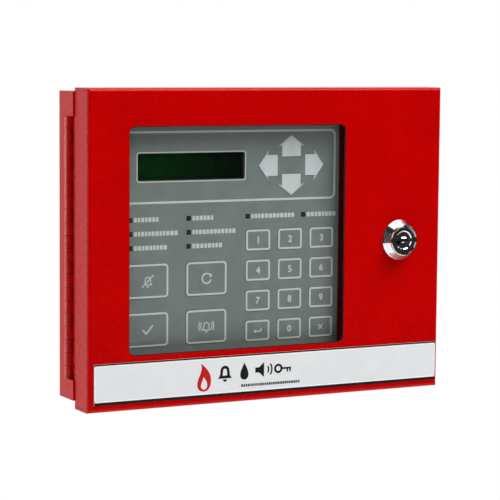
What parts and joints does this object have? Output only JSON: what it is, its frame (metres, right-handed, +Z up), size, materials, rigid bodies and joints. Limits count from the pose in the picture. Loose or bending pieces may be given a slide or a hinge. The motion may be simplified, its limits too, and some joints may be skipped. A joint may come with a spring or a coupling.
{
  "type": "fire alarm control panel",
  "caption": "Shallow wall-mounted alarm annunciator box with a hinged, lockable, windowed door over a display and a membrane keypad.",
  "frame": {"origin": "centre of the four wall-screw holes, on the rear face of the box", "axes": "+X right as seen from the front, +Y back into the wall, +Z up"},
  "size_m": [0.2311, 0.0469, 0.18],
  "materials": {
    "red_powder": "gloss powder coat",
    "steel": "bright drawn steel",
    "zinc": "zinc plated",
    "brass": "turned",
    "chrome": "polished",
    "overlay_film": "matte printed polyester film",
    "arrow_print": "matte printed polyester film",
    "smoked_lens": "smoked window",
    "led_lens": "diffused",
    "circuit_board": "solder mask",
    "black_metal": "black oxide",
    "display_glass": "polished",
    "grey_ribbon": "ribbon insulation",
    "black_plastic": "moulded",
    "capacitor_sleeve": "sleeved",
    "green_plastic": "moulded",
    "red_plastic": "moulded",
    "clear_pane": "clear polycarbonate",
    "white_plate": "satin printed film"
  },
  "bodies": {
    "box": {"back_box": "red_powder", "hinge_box_leaf": "red_powder", "hinge_pin": "red_powder", "latch_catch": "zinc", "earth_stud": "brass", "earth_nut": "brass", "panel_standoffs": "brass", "panel_screws": "zinc", "carrier_plate": "zinc", "keypad_overlay": "overlay_film", "led_windows": "smoked_lens", "status_leds": "led_lens", "key_domes": "steel", "keypad_board": "circuit_board", "board_spacers": "zinc", "board_screws": "zinc", "display_frame": "black_metal", "display_glass": "display_glass", "display_board": "circuit_board", "display_posts": "brass", "display_ribbon": "grey_ribbon", "controller_chip": "black_plastic", "capacitors": "capacitor_sleeve", "voltage_regulator": "black_plastic", "sounder": "black_plastic", "terminal_block": "green_plastic", "terminal_screws": "zinc", "address_switch": "red_plastic"},
    "door": {"door": "red_powder", "hinge_door_leaf": "red_powder", "window_pane": "clear_pane", "pane_studs": "zinc", "pane_clips": "zinc", "pane_nuts": "zinc", "name_plate": "white_plate", "lock_housing": "chrome", "lock_nut": "zinc"},
    "lock": {"lock_plug": "chrome", "lock_cam": "zinc", "cam_bolt": "zinc"},
    "key_acknowledge": {"key_acknowledge": "overlay_film"},
    "key_drill": {"key_drill": "overlay_film"},
    "key_silence": {"key_silence": "overlay_film"},
    "key_reset": {"key_reset": "overlay_film"},
    "key_enter": {"key_enter": "overlay_film"},
    "key_0": {"key_0": "overlay_film"},
    "key_escape": {"key_escape": "overlay_film"},
    "key_1": {"key_1": "overlay_film"},
    "key_2": {"key_2": "overlay_film"},
    "key_3": {"key_3": "overlay_film"},
    "key_4": {"key_4": "overlay_film"},
    "key_5": {"key_5": "overlay_film"},
    "key_6": {"key_6": "overlay_film"},
    "key_7": {"key_7": "overlay_film"},
    "key_8": {"key_8": "overlay_film"},
    "key_9": {"key_9": "overlay_film"},
    "key_up": {"key_up": "arrow_print"},
    "key_left": {"key_left": "arrow_print"},
    "key_down": {"key_down": "arrow_print"},
    "key_right": {"key_right": "arrow_print"}
  },
  "joints": [
    {"name": "door_hinge", "type": "hinge", "parent": "box", "child": "door", "pos_m": [-0.1146, -0.01345, 0], "axis": [0, 0, -1], "range_deg": [0, 115]},
    {"name": "lock_turn", "type": "hinge", "parent": "door", "child": "lock", "pos_m": [0.086, -0.0406, 0], "axis": [0, -1, 0], "range_deg": [0, 90]},
    {"name": "key_acknowledge_press", "type": "slide", "parent": "box", "child": "key_acknowledge", "axis": [0, 1, 0], "range_m": [0, 0.0004], "stiffness_N_per_m": 4000},
    {"name": "key_drill_press", "type": "slide", "parent": "box", "child": "key_drill", "axis": [0, 1, 0], "range_m": [0, 0.0004], "stiffness_N_per_m": 4000},
    {"name": "key_silence_press", "type": "slide", "parent": "box", "child": "key_silence", "axis": [0, 1, 0], "range_m": [0, 0.0004], "stiffness_N_per_m": 4000},
    {"name": "key_reset_press", "type": "slide", "parent": "box", "child": "key_reset", "axis": [0, 1, 0], "range_m": [0, 0.0004], "stiffness_N_per_m": 4000},
    {"name": "key_enter_press", "type": "slide", "parent": "box", "child": "key_enter", "axis": [0, 1, 0], "range_m": [0, 0.0004], "stiffness_N_per_m": 4000},
    {"name": "key_0_press", "type": "slide", "parent": "box", "child": "key_0", "axis": [0, 1, 0], "range_m": [0, 0.0004], "stiffness_N_per_m": 4000},
    {"name": "key_escape_press", "type": "slide", "parent": "box", "child": "key_escape", "axis": [0, 1, 0], "range_m": [0, 0.0004], "stiffness_N_per_m": 4000},
    {"name": "key_1_press", "type": "slide", "parent": "box", "child": "key_1", "axis": [0, 1, 0], "range_m": [0, 0.0004], "stiffness_N_per_m": 4000},
    {"name": "key_2_press", "type": "slide", "parent": "box", "child": "key_2", "axis": [0, 1, 0], "range_m": [0, 0.0004], "stiffness_N_per_m": 4000},
    {"name": "key_3_press", "type": "slide", "parent": "box", "child": "key_3", "axis": [0, 1, 0], "range_m": [0, 0.0004], "stiffness_N_per_m": 4000},
    {"name": "key_4_press", "type": "slide", "parent": "box", "child": "key_4", "axis": [0, 1, 0], "range_m": [0, 0.0004], "stiffness_N_per_m": 4000},
    {"name": "key_5_press", "type": "slide", "parent": "box", "child": "key_5", "axis": [0, 1, 0], "range_m": [0, 0.0004], "stiffness_N_per_m": 4000},
    {"name": "key_6_press", "type": "slide", "parent": "box", "child": "key_6", "axis": [0, 1, 0], "range_m": [0, 0.0004], "stiffness_N_per_m": 4000},
    {"name": "key_7_press", "type": "slide", "parent": "box", "child": "key_7", "axis": [0, 1, 0], "range_m": [0, 0.0004], "stiffness_N_per_m": 4000},
    {"name": "key_8_press", "type": "slide", "parent": "box", "child": "key_8", "axis": [0, 1, 0], "range_m": [0, 0.0004], "stiffness_N_per_m": 4000},
    {"name": "key_9_press", "type": "slide", "parent": "box", "child": "key_9", "axis": [0, 1, 0], "range_m": [0, 0.0004], "stiffness_N_per_m": 4000},
    {"name": "key_up_press", "type": "slide", "parent": "box", "child": "key_up", "axis": [0, 1, 0], "range_m": [0, 0.0004], "stiffness_N_per_m": 4000},
    {"name": "key_left_press", "type": "slide", "parent": "box", "child": "key_left", "axis": [0, 1, 0], "range_m": [0, 0.0004], "stiffness_N_per_m": 4000},
    {"name": "key_down_press", "type": "slide", "parent": "box", "child": "key_down", "axis": [0, 1, 0], "range_m": [0, 0.0004], "stiffness_N_per_m": 4000},
    {"name": "key_right_press", "type": "slide", "parent": "box", "child": "key_right", "axis": [0, 1, 0], "range_m": [0, 0.0004], "stiffness_N_per_m": 4000}
  ]
}
